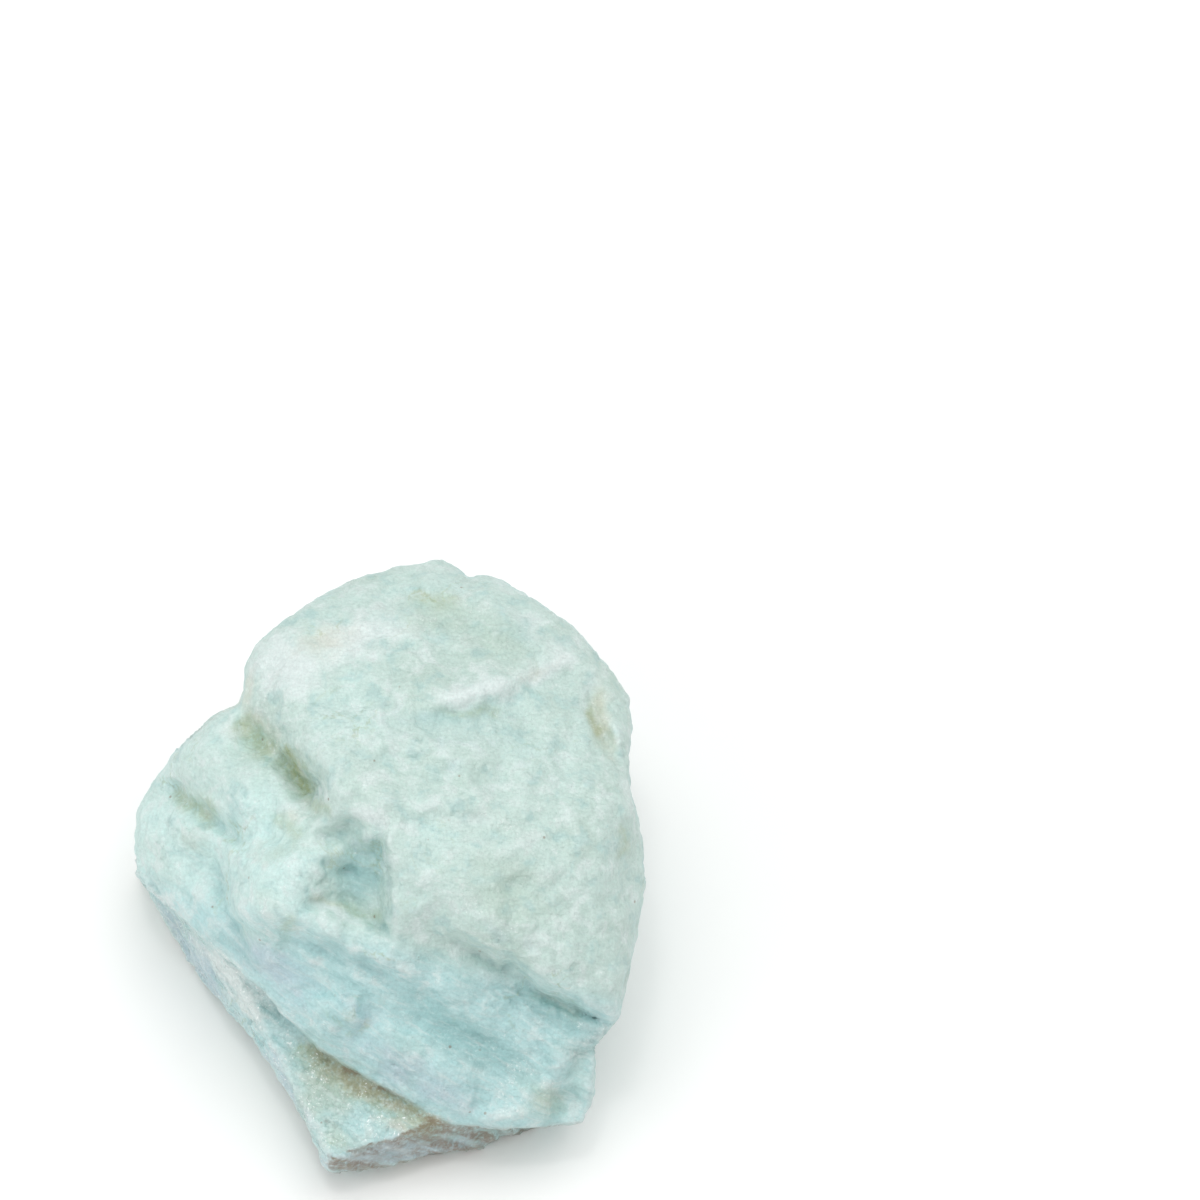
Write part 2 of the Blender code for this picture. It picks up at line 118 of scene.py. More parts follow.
# Grooves: route, depth, width
GROOVES = {
    "shoulder groove": (
        ((-13.4, 13.8), (-11.4, 11.0), (-9.4, 9.8), (-8.2, 8.6), (-7.2, 6.8), (-5.4, 5.0)), 1.5, 1.5),
    "olive pit": (((-9.0, 10.0), (-8.0, 8.4), (-7.2, 7.0), (-6.0, 5.6)), 1.7, 1.1),
    "dome trough": (((-3.4, 9.8), (1.0, 8.7), (5.0, 7.5), (9.0, 7.2), (12.0, 8.4)), 0.7, 1.3),
    "left groove": (((-19.6, 7.6), (-17.0, 5.3), (-15.0, 4.0), (-13.4, 2.6), (-12.0, 0.4)), 1.5, 0.8),
    "lump foot": (((-14.4, 1.6), (-14.2, -1.6), (-13.6, -4.0), (-12.2, -7.0)), 1.4, 0.8),
    "recess head": (((-6.2, 2.6), (-2.4, 2.0), (0.2, 1.3)), 1.1, 0.8),
    "recess foot": (((-7.5, -2.8), (-3.5, -3.3), (-1.6, -4.2), (0.4, -5.8)), 0.8, 0.7),
    "recess pit": (((-6.0, 0.4), (-4.0, -0.2), (-2.2, 0.1)), 0.9, 0.6),
    "lobe foot": (((-9.2, -5.6), (-5.0, -7.0), (-2.0, -8.2), (1.0, -9.6), (5.0, -13.0)), 0.8, 0.7),
    "diagonal break": (
        ((5.0, -5.6), (8.2, -7.2), (10.4, -8.9), (13.4, -10.7), (16.4, -12.2), (20.6, -14.4)), 1.1, 0.7),
    "valley": (((-0.6, -10.4), (4.0, -13.6), (8.0, -15.6), (13.4, -18.0)), 0.8, 1.7),
    "right nick": (((16.8, 15.6), (17.8, 12.4), (18.6, 10.4), (20.4, 7.4)), 1.0, 0.6),
    "dome dip": (((3.0, 16.0), (6.0, 18.0), (9.0, 20.0)), 0.6, 2.2),
}

# Steps: route, height of the side to its left, width of the step's face, reach of the raised ground
STEPS = {
    "dome wall": (((-4.6, 4.2), (-6.2, 6.6), (-7.6, 9.2), (-9.4, 11.0), (-12.4, 13.8)), -4.2, 1.5, 5.0),
    "recess wall": (
        ((0.3, 4.4), (-0.2, 2.4), (-0.3, 0.0), (-0.4, -2.4), (-0.1, -4.6), (1.0, -6.6)), 2.9, 0.45, 5.0),
    "dome foot": (((-7.6, 6.0), (-5.6, 4.9), (-3.6, 3.6), (-1.4, 2.9), (1.6, 3.0)), 1.7, 0.8, 4.0),
    "block foot": (
        ((4.0, -5.0), (6.2, -6.0), (8.2, -6.8), (10.4, -8.4), (13.4, -10.2), (16.4, -11.7), (20.6, -13.8)),
        2.7, 0.45, 4.5),
    "lump edge": (((-13.9, 2.2), (-13.8, 0.0), (-13.6, -2.0), (-13.0, -4.2), (-11.4, -7.2)), 2.8, 0.4, 4.0),
    "shoulder foot": (((-20.0, 8.2), (-17.0, 5.8), (-15.0, 4.5), (-12.4, 2.4)), 1.6, 0.5, 3.0),
    "pale step": (
        ((1.0, 4.0), (3.4, 4.7), (6.4, 5.0), (9.0, 4.6), (9.8, 3.2), (9.0, 2.2), (6.0, 1.4)), 0.6, 0.5, 2.2),
    "s ridge": (
        ((1.0, 14.8), (3.6, 14.0), (6.6, 13.7), (9.6, 14.2), (12.0, 16.0), (17.0, 18.4)), 1.4, 0.9, 3.2),
    "lobe edge": (((-9.6, -5.0), (-7.0, -5.9), (-5.0, -6.5), (-2.0, -7.7), (2.4, -9.8)), 1.1, 0.5, 3.0),
    "corner break": (
        ((18.4, -13.2), (16.6, -15.6), (15.2, -17.4), (14.2, -19.2), (13.0, -23.0)), -1.9, 0.6, 3.5),
    "small lump": (
        ((-7.4, -12.6), (-6.2, -10.9), (-4.6, -10.4), (-2.6, -11.0), (-2.1, -12.8), (-3.4, -15.0)),
        -1.0, 0.4, 1.8),
}

# Swells and hollows: middle, half sizes, turn, height
SWELLS = {
    "dome": ((2.0, 12.0), (10.0, 6.0), 0.0, 0.8),
    "cream cheek": ((-8.4, 17.0), (3.0, 3.2), 0.3, 0.9),
    "ridge bar": ((8.6, 15.4), (5.6, 1.2), 0.28, 0.6),
    "top knob": ((2.8, 23.6), (3.0, 1.6), -0.3, 0.6),
    "left lobe": ((-18.2, 1.8), (3.4, 3.2), 0.0, 1.6),
    "shoulder": ((-13.6, 7.0), (4.4, 2.6), -0.5, 1.2),
    "central lump": ((-10.4, -2.0), (3.4, 3.4), 0.3, 1.9),
    "recess": ((-2.4, -1.0), (2.8, 3.2), 0.2, -1.7),
    "bright lobe": ((-4.0, -5.4), (4.6, 1.6), -0.25, 1.1),
    "block": ((9.0, -2.0), (8.5, 5.0), -0.3, 1.0),
    "block bulge": ((12.5, -6.2), (5.5, 2.4), -0.45, 0.9),
    "lower belly": ((0.0, -15.5), (7.0, 2.4), -0.55, 0.7),
    "small lump": ((-4.4, -12.6), (1.9, 1.7), 0.0, 0.9),
}

# Flat breaks of the hidden sides: outward normal and distance from the world's origin
BACK_BREAKS = (
    ((-0.12, 1.0, 0.16), 19.8),
    ((0.72, 0.68, 0.10), 20.8),
    ((-0.70, 0.70, 0.14), 17.6),
    ((0.30, 0.90, -0.34), 9.6),
    ((-0.62, 0.52, -0.58), 6.3),
    ((0.78, 0.10, -0.52), 8.5),
    ((-0.74, -0.10, -0.66), 11.1),
    ((-0.10, -0.66, -0.74), 14.0),
    ((0.98, -0.2, 0.06), 25.1),
)
SHELF_BREAKS = (
    ((-0.024, -0.288, 1.0), 15.9),
    ((-0.86, -0.50, 0.08), 21.3),
    ((0.41, -0.87, 0.10), 29.2),
    ((0.30, -0.95, 0.0), 29.9),
    ((-0.13, -0.13, -0.98), 3.4),
    ((0.70, -0.50, -0.40), 26.0),
)

# Uneven ground: length and height of the waves that every route and slope follows, then the width,
# height and seed of the small breaks over the face and of the lumps on the hidden sides
WAVES = (2.3, 0.45)
CHIPS = ((4.4, 0.7, 201), (1.9, 0.2, 221))
CALM_DOME = ((2.0, 13.0), (11.0, 6.0), 0.3)
LUMPS = ((7.0, 0.55, 41), (3.1, 0.28, 43))

# Rounding of corners: between slopes, least and most along the rim and the length over which the one
# passes into the other, between hidden breaks, between them and the face, between the shelf's breaks,
# along its rim, and where it runs in under the block
SLOPE_ROUND = 2.4
RIM_ROUND = (0.6, 2.0)
RIM_ROUND_SPREAD = 8.0
BACK_ROUND = 1.6
BACK_EDGE_ROUND = 1.4
SHELF_ROUND = 0.25
SHELF_RIM_ROUND = 0.3
INNER_ROUND = 0.9

# Colour zones of the face: what they are of, then middle, half sizes, turn and strength of each patch
ZONES = {
    "cream": (
        ((-8.6, 17.2), (3.6, 3.6), 0.3, 0.85),
        ((-3.0, 19.6), (6.0, 2.4), 0.3, 0.75),
        ((12.0, 20.6), (3.0, 1.4), -0.5, 0.5),
        ((7.8, 14.9), (4.4, 1.3), 0.12, 0.9),
        ((13.4, 16.8), (3.2, 1.3), 0.5, 0.9),
        ((14.4, 18.6), (3.6, 2.0), 0.35, 0.5),
        ((17.4, 15.2), (1.6, 2.6), 0.1, 0.6),
        ((-12.6, 11.6), (2.2, 1.3), 0.5, 0.7),
        ((7.6, 4.2), (3.0, 1.0), 0.05, 0.5),
        ((-1.8, 4.6), (2.6, 1.0), -0.3, 0.6),
        ((-8.2, 5.2), (2.4, 0.8), 0.1, 0.5),
        ((-20.0, -2.6), (2.2, 0.7), -0.75, 0.7),
        ((0.6, -20.6), (2.2, 0.8), -0.4, 0.7),
        ((-13.2, -10.4), (6.0, 1.4), -0.82, 1.0),
        ((13.0, -19.8), (2.2, 1.2), 0.0, 0.6),
        ((-4.8, -3.2), (1.8, 0.9), -0.3, 1.0),
    ),
    "tan": (
        ((-5.6, 19.4), (3.6, 1.6), 0.3, 0.6),
        ((18.4, 12.4), (1.0, 3.4), 0.15, 0.9),
        ((-12.0, 14.6), (1.0, 2.4), -0.2, 0.6),
        ((12.6, 16.4), (3.0, 0.9), 0.5, 0.4),
        ((-10.8, 12.0), (2.6, 0.9), -0.5, 0.5),
        ((-8.6, 4.4), (1.8, 0.8), 0.1, 0.4),
        ((-3.0, -18.6), (3.4, 1.2), -0.55, 0.8),
        ((2.0, -22.2), (3.0, 0.8), 0.1, 0.7),
    ),
    # The teal patches are partly the stone's own blue-green and partly painted shade: in the recess and on
    # its wall, under the S ridge and in the dome trough, along the valley and the diagonal break, and at the
    # lump foot
    "teal": (
        ((-2.4, -0.4), (2.6, 3.2), 0.2, 0.75),
        ((-14.6, -1.6), (1.6, 3.0), 0.2, 0.5),
        ((5.4, 12.6), (7.0, 1.6), 0.1, 0.5),
        ((10.6, 10.4), (5.0, 2.4), -0.2, 0.3),
        ((7.0, 12.0), (6.0, 2.2), 0.15, 0.35),
        ((6.0, 8.4), (4.0, 1.6), 0.0, 0.3),
        ((6.6, -14.6), (7.5, 2.2), -0.5, 0.9),
        ((13.6, -12.0), (6.0, 1.4), -0.5, 0.8),
        ((-4.4, -12.6), (2.0, 1.8), 0.0, 0.6),
        ((9.4, -5.6), (4.0, 1.6), -0.45, 0.35),
        ((-1.0, 1.6), (1.2, 2.0), 0.1, 0.6),
        ((1.6, -11.6), (4.0, 1.6), -0.5, 0.5),
        ((-9.8, -13.4), (2.4, 0.6), -0.85, 0.9),
        ((-4.4, -11.0), (6.0, 2.0), -0.5, 0.4),
        ((11.0, 20.0), (3.6, 1.6), -0.4, 0.35),
        ((18.4, -1.8), (1.6, 2.4), 0.0, 0.15),
        ((-13.6, -6.8), (4.0, 1.0), -0.6, 0.6),
        ((-10.6, 6.4), (3.4, 1.2), -0.4, 0.3),
    ),
    "green": (
        ((10.0, -1.6), (5.0, 3.4), -0.3, 0.7),
        ((4.4, 21.4), (4.6, 2.4), -0.2, 0.8),
        ((18.2, 12.8), (1.4, 3.6), 0.15, 0.9),
        ((-16.8, 2.2), (2.2, 2.4), 0.0, 0.5),
        ((-9.2, 1.6), (3.0, 1.4), 0.3, 0.6),
        ((13.2, -19.4), (2.2, 1.0), -0.3, 0.7),
        ((-5.4, -20.0), (3.0, 2.8), -0.6, 0.9),
        ((-4.6, -23.0), (3.0, 2.0), -0.5, 0.8),
        ((9.0, 19.6), (5.0, 2.6), -0.4, 0.7),
        ((9.4, 4.0), (6.0, 2.4), -0.1, 0.35),
        ((9.0, -6.0), (4.0, 1.2), -0.45, 0.5),
        ((14.6, 13.2), (2.0, 2.4), 0.2, 0.4),
    ),
    "lilac": (
        ((-10.0, -8.2), (5.0, 1.8), -0.5, 0.8),
        ((-17.4, -8.6), (7.4, 1.5), -0.98, 1.0),
        ((-9.0, -19.8), (4.4, 1.2), -1.05, 0.9),
        ((2.0, -17.8), (8.0, 2.4), -0.5, 0.6),
        ((-2.6, -12.4), (3.0, 2.0), -0.5, 0.5),
        ((-8.4, -11.0), (3.0, 1.4), -0.6, 0.5),
        ((1.0, -24.8), (8.0, 1.3), 0.12, 1.0),
    ),
}

# Stained lines: route, width, strength
STAINS = {
    "olive pit": (((-9.4, 10.2), (-8.1, 8.6), (-7.5, 7.0), (-6.6, 6.0)), 0.75, 1.0),
    "shoulder groove": (((-12.8, 13.0), (-12.0, 11.6), (-10.8, 10.4), (-9.2, 10.0)), 1.0, 0.7),
    "left groove": (((-18.6, 6.6), (-17.4, 5.6), (-16.2, 5.0), (-14.6, 3.8)), 0.8, 0.6),
    "recess foot": (((-6.8, -2.6), (-5.0, -2.7), (-3.2, -3.0), (-1.6, -3.8), (-0.2, -4.8)), 0.4, 0.4),
    "lobe side": (((-8.0, -3.6), (-8.6, -5.0), (-8.0, -6.0)), 0.5, 0.4),
    "right nick": (((17.2, 14.0), (17.6, 12.8), (18.4, 11.2)), 0.35, 0.6),
    "shelf mark": (((-8.0, -15.8), (-7.0, -15.9), (-6.2, -16.1)), 0.35, 0.9),
    "lump top": (((-10.4, 4.4), (-8.7, 3.8), (-7.4, 2.6)), 0.7, 0.4),
    "dome foot": (((-7.6, 6.2), (-6.4, 5.2), (-4.4, 4.4)), 0.6, 0.45),
    "top notch": (((1.6, 23.4), (3.8, 22.6), (6.2, 23.2)), 0.8, 0.35),
    "break end": (((12.4, -10.4), (14.7, -11.8), (16.8, -12.8)), 0.6, 0.2),
    "yellow corner": (((11.4, -19.6), (13.2, -20.2), (15.4, -20.6)), 1.1, 0.25),
    "block edge": (((19.6, 0.6), (20.2, 2.0), (20.0, 3.4)), 0.6, 0.4),
    "under the ridge": (((4.4, 13.2), (7.0, 13.0), (10.0, 13.3)), 0.35, 0.4),
}

# Where the shelf runs in under the block: the brown-olive band along it is partly dirt and partly painted
# shade
UNDER_BLOCK_ROUTE = ((-6.0, -16.2), (-3.0, -18.2), (-0.4, -19.8), (1.6, -20.8), (3.6, -21.6))

# The grid that the surface is worked out on: its reach along x, u and t
GRID_SPANS = ((-25.0, 25.0), (-30.0, 29.0), (-18.0, 35.0))

# Rounds of averaging that give the ground around a point, for its hollows and ridges
HOLLOW_ROUNDS = 24

# Size of a cleaved grain in millimetres, and the refractive index of microcline
GRAIN_SIZE = 0.42
FELDSPAR_IOR = 1.53

# How much of its colour each zone shows, in the order in which they are laid on
ZONE_SHARES = {"cream": 0.95, "green": 0.75, "lilac": 0.8, "tan": 0.5, "teal": 0.85}

# What else the mesh keeps for each point
KEPT_VALUES = ("olive", "rust", "hollow", "ridge", "streaky", "clear", "gloss", "broad")

# Noise in the material: size of its patches in millimetres, detail, distortion, roughness
STONE_NOISES = {
    "milky": (1.9, 3.0, 0.3, 0.55),
    "crack": (4.6, 4.0, 0.5, 0.55),
    "grit": (0.45, 3.0, 0.0, 0.7),
    "sugar": (0.28, 3.0, 0.0, 0.75),
    # Where a few grains get a painted white glint
    "flash": (0.2, 1.0, 0.6, 0.6),
}

# The stage, in metres: side of the floor, and each light's place and size
FLOOR_SIZE = 6.0
LIGHTS = {
    "key": ((0.1, 0.1, 0.84), 0.8),
    "fill": ((-0.62, -0.36, 0.42), 0.6),
    "glint": ((-0.05, -0.06, 0.88), 0.09),
}

# How far right of the stone's middle and above it the camera aims, in millimetres in the view frame:
# the stone stands low and left in the frame, as photographed
AIM_OFF = (18.1, 21.4)


def unit(vector):
    """The vector at length one."""
    v = np.array(vector, float)
    return v / np.linalg.norm(v)


# Lamellae of pale albite in the stone, each set as a stack of thin sheets with this normal
FACE_LAMELLAE = unit(0.52 * VIEW_X + 0.80 * VIEW_U + 0.30 * VIEW_T)
BODY_LAMELLAE = unit(0.22 * VIEW_X + 0.90 * VIEW_U + 0.36 * VIEW_T)
SHELF_LAMELLAE = unit(0.86 * VIEW_X + 0.50 * VIEW_U + 0.10 * VIEW_T)


def hashed(i, j, k, seed):
    """A fixed number from -1 to 1 for each corner of a lattice."""
    n = ((i * 73856093) ^ (j * 19349663) ^ (k * 83492791) ^ (seed * 26544357)).astype(np.uint32)
    n = (n ^ (n >> np.uint32(15))) * np.uint32(2246822519)
    n = (n ^ (n >> np.uint32(13))) * np.uint32(3266489917)
    n = n ^ (n >> np.uint32(16))
    return n / 2147483648.0 - 1.0


def noise(x, y, z, seed):
    """Smooth noise from -1 to 1, one lattice cell to the unit."""
    x, y, z = np.broadcast_arrays(x, y, z)
    i, j, k = (np.floor(c).astype(np.int64) for c in (x, y, z))
    fx, fy, fz = ((c - np.floor(c)) for c in (x, y, z))
    fx, fy, fz = (f * f * (3.0 - 2.0 * f) for f in (fx, fy, fz))
    total = np.zeros(x.shape)
    for corner in range(8):
        a, b, c = corner & 1, corner >> 1 & 1, corner >> 2
        weight = (fx if a else 1.0 - fx) * (fy if b else 1.0 - fy) * (fz if c else 1.0 - fz)
        total += weight * hashed(i + a, j + b, k + c, seed)
    return total


def turned(x, y, z):
    """The place turned off the lattice, so that no feature lines up with it."""
    return 0.36 * x + 0.48 * y - 0.8 * z, -0.8 * x + 0.6 * y, 0.48 * x + 0.64 * y + 0.6 * z


def fractal(x, y, z, seed, octaves=3):
    """Noise with finer and weaker octaves added, each turned from the last."""
    total = 0.0
    for octave in range(octaves):
        x, y, z = turned(x, y, z)
        size = 2.0 ** octave
        total = total + noise(x * size, y * size, z * size, seed + octave) / size
    return total


def clouds(place, size, seed, octaves):
    """Fractal noise with patches about that size across."""
    return fractal(*(c / size for c in place), seed, octaves)


def chipped(x, y, z, seed, sharpness=9.0):
    """Height of small breaks one unit across, each tilted its own way, with soft corners between them."""
    x, y, z = turned(x, y, z)
    i, j, k = (np.floor(c).astype(np.int64) for c in (x, y, z))
    total = np.zeros(x.shape)
    weights = np.zeros(x.shape)
    for cell in range(27):
        a, b, c = i + cell % 3 - 1, j + cell // 3 % 3 - 1, k + cell // 9 - 1
        off = [place - corner - 0.5 - 0.42 * hashed(a, b, c, seed + axis)
               for axis, (place, corner) in enumerate(((x, a), (y, b), (z, c)))]
        plane = sum(o * hashed(a, b, c, seed + 3 + axis) for axis, o in enumerate(off))
        weight = np.exp(-sharpness * sum(o * o for o in off))
        total += weight * (plane + 0.35 * hashed(a, b, c, seed + 6))
        weights += weight
    return total / weights


def chip_clouds(place, size, seed, sharpness=9.0):
    """Small breaks of that size all over."""
    return chipped(*(c / size for c in place), seed, sharpness)


def soft_min(a, b, radius):
    """The lower of two heights, with the corner between them rounded."""
    share = np.clip(0.5 + 0.5 * (b - a) / radius, 0.0, 1.0)
    return b + (a - b) * share - radius * share * (1.0 - share)


def soft_max(a, b, radius):
    """The higher of two heights, with the corner between them rounded."""
    return -soft_min(-a, -b, radius)


def ramp(value, low, high):
    """0 below low, 1 above high, with a smooth rise between."""
    share = np.clip((value - low) / (high - low), 0.0, 1.0)
    return share * share * (3.0 - 2.0 * share)


def near_route(points, x, u):
    """Distance to a route, the side of it (+1 left, -1 right) and the share of its length passed."""
    corners = np.array(points, float)
    lengths = np.linalg.norm(np.diff(corners, axis=0), axis=1)
    passed = np.concatenate(([0.0], np.cumsum(lengths)))
    distance = np.full(x.shape, np.inf)
    side = np.zeros(x.shape)
    share = np.zeros(x.shape)
    for start, end, length, before in zip(corners, corners[1:], lengths, passed):
        along_x, along_u = (end - start) / length
        run = np.clip((x - start[0]) * along_x + (u - start[1]) * along_u, 0.0, length)
        off_x = x - start[0] - run * along_x
        off_u = u - start[1] - run * along_u
        here = np.hypot(off_x, off_u)
        nearer = here < distance
        distance = np.where(nearer, here, distance)
        side = np.where(nearer, np.sign(along_x * off_u - along_u * off_x), side)
        share = np.where(nearer, (before + run) / passed[-1], share)
    return distance, side, share


def outside_rim(rim, x, u):
    """Distance outside a closed rim, negative within it."""
    distance, _, _ = near_route(rim + rim[:1], x, u)
    within = np.zeros(x.shape, bool)
    for (ax, au), (bx, bu) in zip(rim, rim[1:] + rim[:1]):
        if au != bu:
            crossing = ax + (bx - ax) * (u - au) / (bu - au)
            within ^= ((au > u) != (bu > u)) & (x < crossing)
    return np.where(within, -distance, distance)


def patch(x, u, middle, half, turn, power):
    """1 in the middle of a turned ellipse, falling to 0 outside it."""
    off_x, off_u = x - middle[0], u - middle[1]
    across = (off_x * math.cos(turn) + off_u * math.sin(turn)) / half[0]
    along = (off_u * math.cos(turn) - off_x * math.sin(turn)) / half[1]
    return np.exp(-(across ** 2 + along ** 2) ** power)


def face_height(x, u):
    """Height of the broken face over the view frame."""
    length, rise = WAVES
    wave_x = x + rise * fractal(x / length, u / length, 0.3, 11, 2)
    wave_u = u + rise * fractal(x / length, u / length, 7.7, 23, 2)
    height = None
    for start, rise_x, rise_u in SLOPES:
        slope = start + rise_x * wave_x + rise_u * wave_u
        height = slope if height is None else soft_min(height, slope, SLOPE_ROUND)
    for route, depth, width in GROOVES.values():
        distance, _, share = near_route(route, wave_x, wave_u)
        taper = np.clip(7.0 * share * (1.0 - share), 0.0, 1.0)
        height = height - depth * taper * np.exp(-(distance / width) ** 2)
    for route, rise, width, reach in STEPS.values():
        distance, side, share = near_route(route, wave_x, wave_u)
        taper = np.clip(6.0 * share * (1.0 - share), 0.0, 1.0)
        level = np.tanh(side * distance / width) * np.exp(-(distance / reach) ** 2)
        height = height + 0.5 * rise * taper * level
    for middle, half, turn, rise in SWELLS.values():
        height = height + rise * patch(wave_x, wave_u, middle, half, turn, 1.3)
    middle, half, calm = CALM_DOME
    calm = 1.0 - calm * patch(x, u, middle, half, 0.0, 1.5)
    for width, rise, seed in CHIPS:
        height = height + rise * calm * chipped(x / width, u / width, np.full(x.shape, 0.37), seed)
    return height


def breaks(planes, places, radius):
    """Distance outside a set of flat breaks with rounded corners between them."""
    outside = None
    for normal, distance in planes:
        n = unit(normal)
        here = places[0] * n[0] + places[1] * n[1] + places[2] * n[2] - distance
        outside = here if outside is None else soft_max(outside, here, radius)
    return outside


def blurred(values):
    """The field with each point averaged with its neighbours, so that no cell is crossed twice."""
    for axis in range(3):
        ahead, behind = np.roll(values, -1, axis=axis), np.roll(values, 1, axis=axis)
        values = 0.5 * values + 0.25 * (ahead + behind)
    return values


def finer(values, coarse_axes, fine_axes):
    """Values on a coarse grid read off at the points of a finer one."""
    for axis, (coarse, fine) in enumerate(zip(coarse_axes, fine_axes)):
        place = (fine - coarse[0]) / (coarse[1] - coarse[0])
        low = np.clip(np.floor(place).astype(int), 0, len(coarse) - 2)
        shape = [1, 1, 1]
        shape[axis] = len(fine)
        share = (place - low).reshape(shape)
        below, above = np.take(values, low, axis=axis), np.take(values, low + 1, axis=axis)
        values = below * (1.0 - share) + above * share
    return values


def world_parts(x, u, t):
    """World x, y and z of places in the view frame."""
    return x, u * VIEW_U[1] + t * VIEW_T[1], u * VIEW_U[2] + t * VIEW_T[2]


def in_world(points):
    """The view frame's points as world points, still in millimetres."""
    return points[:, :1] * VIEW_X + points[:, 1:2] * VIEW_U + points[:, 2:3] * VIEW_T


def stone_field(axes):
    """Distance-like field of the whole stone on a grid of the view frame, negative inside it."""
    # The lumps of the hidden sides are broad, so they are worked out on a 1 mm grid
    coarse = [np.arange(a[0] - 1.0, a[-1] + 2.0, 1.0) for a in axes]
    cx, cu, ct = np.meshgrid(*coarse, indexing="ij")
    wx, wy, wz = world_parts(cx, cu, ct)
    lumps = sum(rise * noise(wx / width, wy / width, wz / width, seed) for width, rise, seed in LUMPS)
    lumps = finer(lumps, coarse, axes)

    x2, u2 = np.meshgrid(axes[0], axes[1], indexing="ij")
    t = axes[2][None, None, :]
    places = world_parts(x2[:, :, None], u2[:, :, None], t)
    face = t - face_height(x2, u2)[:, :, None]
    least, most = RIM_ROUND
    edge_round = least + (most - least) * (0.5 + 0.5 * np.tanh((u2 - 0.4 * x2) / RIM_ROUND_SPREAD))
    rim = outside_rim(RIM, x2, u2) - 0.25 * edge_round
    block = soft_max(face, rim[:, :, None], edge_round[:, :, None])
    block = soft_max(block, breaks(BACK_BREAKS, places, BACK_ROUND) + lumps, BACK_EDGE_ROUND)
    shelf_rim = outside_rim(SHELF_RIM, x2, u2)[:, :, None]
    shelf = breaks(SHELF_BREAKS, places, SHELF_ROUND) + 0.5 * lumps
    shelf = soft_max(shelf, shelf_rim, SHELF_RIM_ROUND)
    return blurred(soft_min(block, shelf, INNER_ROUND))


def surface_net(values, axes):
    """Points and quads of the field's zero surface, one point to each cell that it crosses."""
    inside = values < 0.0
    shape = tuple(n - 1 for n in values.shape)
    offsets = [(a, b, c) for a in (0, 1) for b in (0, 1) for c in (0, 1)]
    count = sum(
        inside[a:a + shape[0], b:b + shape[1], c:c + shape[2]].astype(np.int8) for a, b, c in offsets
    )
    cells = np.argwhere((count > 0) & (count < 8))
    number = np.full(shape, -1, np.int64)
    number[tuple(cells.T)] = np.arange(len(cells))
    corner = {o: values[tuple((cells + o).T)] for o in offsets}
    total = np.zeros((len(cells), 3))
    hits = np.zeros(len(cells))
    for start in offsets:
        for axis in range(3):
            if start[axis]:
                continue
            end = tuple(1 if i == axis else start[i] for i in range(3))
            low, high = corner[start], corner[end]
            crossed = (low < 0.0) != (high < 0.0)
            share = np.where(crossed, low / np.where(crossed, low - high, 1.0), 0.0)
            point = np.array(start, float) + np.zeros((len(cells), 3))
            point[:, axis] += share
            total[crossed] += point[crossed]
            hits += crossed
    spacing = np.array([axis[1] - axis[0] for axis in axes])
    origin = np.array([axis[0] for axis in axes])
    points = origin + (cells + total / hits[:, None]) * spacing
    quads = []
    for axis in range(3):
        ahead = np.roll(inside, -1, axis=axis)
        edge = np.argwhere(inside != ahead)
        side_a, side_b = [i for i in range(3) if i != axis]
        edge = edge[edge[:, axis] < values.shape[axis] - 1]
        edge = edge[(edge[:, side_a] > 0) & (edge[:, side_b] > 0)]
        edge = edge[(edge[:, side_a] < shape[side_a]) & (edge[:, side_b] < shape[side_b])]
        step_a, step_b = np.eye(3, dtype=int)[side_a], np.eye(3, dtype=int)[side_b]
        ring = [number[tuple((edge - s).T)] for s in (0 * step_a, step_a, step_a + step_b, step_b)]
        ring = np.stack(ring, axis=1)

        # Each quad is wound so that its normal points out of the stone
        leaving = inside[tuple(edge.T)]
        flip = ~leaving if axis != 1 else leaving
        ring[flip] = ring[flip][:, ::-1]
        quads.append(ring)
    return points, np.concatenate(quads)


def point_normals(points, quads):
    """Outward normals at the points of a mesh of quads."""
    across = points[quads[:, 2]] - points[quads[:, 0]]
    along = points[quads[:, 3]] - points[quads[:, 1]]
    flat = np.cross(across, along)
    normals = np.zeros_like(points)
    for corner in range(4):
        for axis in range(3):
            normals[:, axis] += np.bincount(quads[:, corner], flat[:, axis], len(points))
    lengths = np.linalg.norm(normals, axis=1, keepdims=True)
    return normals / np.maximum(lengths, 1e-12)


def neighbour_mean(values, quads):
    """Each point's value averaged over the points that share an edge with it."""
    total = np.zeros_like(values)
    count = np.bincount(quads.ravel(), minlength=len(values)) * 2.0
    for corner in range(4):
        for other in (corner - 1, (corner + 1) % 4):
            for axis in range(values.shape[1]):
                total[:, axis] += np.bincount(
                    quads[:, corner], values[quads[:, other], axis], len(values))
    return total / np.maximum(count, 1.0)[:, None]


def hollowness(points, normals, quads, rounds):
    """How far each point lies below the ground around it, in millimetres; more rounds look further."""
    smooth = points.copy()
    for _ in range(rounds):
        smooth = 0.3 * smooth + 0.7 * neighbour_mean(smooth, quads)
    return ((smooth - points) * normals).sum(axis=1)


def zone_strength(name, x, u):
    """How strongly one kind of colour shows at a place of the face."""
    total = np.zeros(x.shape)
    for middle, half, turn, strength in ZONES[name]:
        total = np.maximum(total, strength * patch(x, u, middle, half, turn, 1.0))
    return total


def saw(height, drop):
    """A slope that climbs to 1 and falls back within the last share of its length."""
    part = height - np.floor(height)
    return part - ramp(part, 1.0 - drop, 1.0)


def faces_out(normals, t):
    """1 on the broken face, 0 on the sides and the back."""
    return ramp(normals[:, 2], 0.0, 0.35) * ramp(t, 4.0, 9.0)


def lower_face(x, u):
    """1 on the streaked lower part of the broken face, 0 above it."""
    return ramp(-u - 0.25 * x, 5.0, 8.5)


